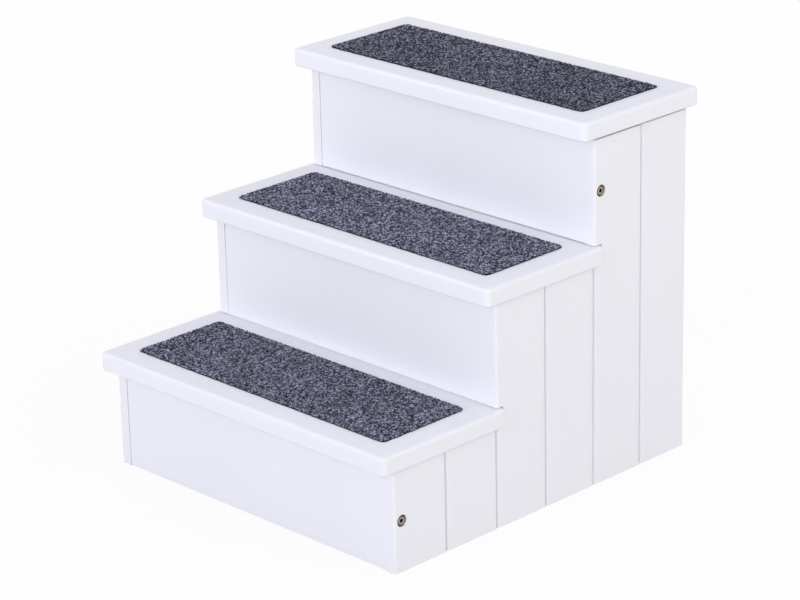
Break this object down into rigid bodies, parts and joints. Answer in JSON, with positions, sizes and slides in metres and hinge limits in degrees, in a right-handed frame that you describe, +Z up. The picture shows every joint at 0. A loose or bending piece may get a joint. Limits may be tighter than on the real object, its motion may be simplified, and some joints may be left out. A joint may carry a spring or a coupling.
{
  "type": "pet stairs",
  "caption": "Free-standing pet stairs with boarded sides, painted treads with inset carpets, riser boards bolted between the sides and a closed back.",
  "frame": {"origin": "on the floor, under the middle of the whole outline", "axes": "+X to the right of someone who faces the stairs, +Y from the front to the back, +Z up"},
  "size_m": [0.411, 0.4534, 0.3885],
  "materials": {
    "paint": "white satin paint on wood",
    "carpet": "dark grey heathered cut pile",
    "batten": "planed bare pine",
    "dowel": "fluted bare beech",
    "bolt": "bronze plating",
    "zinc": "bright zinc plating"
  },
  "bodies": {
    "root": {"left_board_1": "paint", "left_board_2": "paint", "left_board_3": "paint", "left_board_4": "paint", "left_board_5": "paint", "left_board_6": "paint", "right_board_1": "paint", "right_board_2": "paint", "right_board_3": "paint", "right_board_4": "paint", "right_board_5": "paint", "right_board_6": "paint", "lower_riser": "paint", "middle_riser": "paint", "top_riser": "paint", "back_panel": "paint", "lower_tread": "paint", "middle_tread": "paint", "top_tread": "paint", "lower_carpet": "carpet", "middle_carpet": "carpet", "top_carpet": "carpet", "left_foot_batten": "batten", "left_lower_batten": "batten", "left_middle_batten": "batten", "left_top_batten": "batten", "right_foot_batten": "batten", "right_lower_batten": "batten", "right_middle_batten": "batten", "right_top_batten": "batten", "side_bolts": "bolt", "cross_nuts": "zinc", "riser_dowels": "dowel", "left_board_screws": "zinc", "right_board_screws": "zinc", "tread_screws": "zinc", "back_screws": "zinc"}
  },
  "joints": []
}
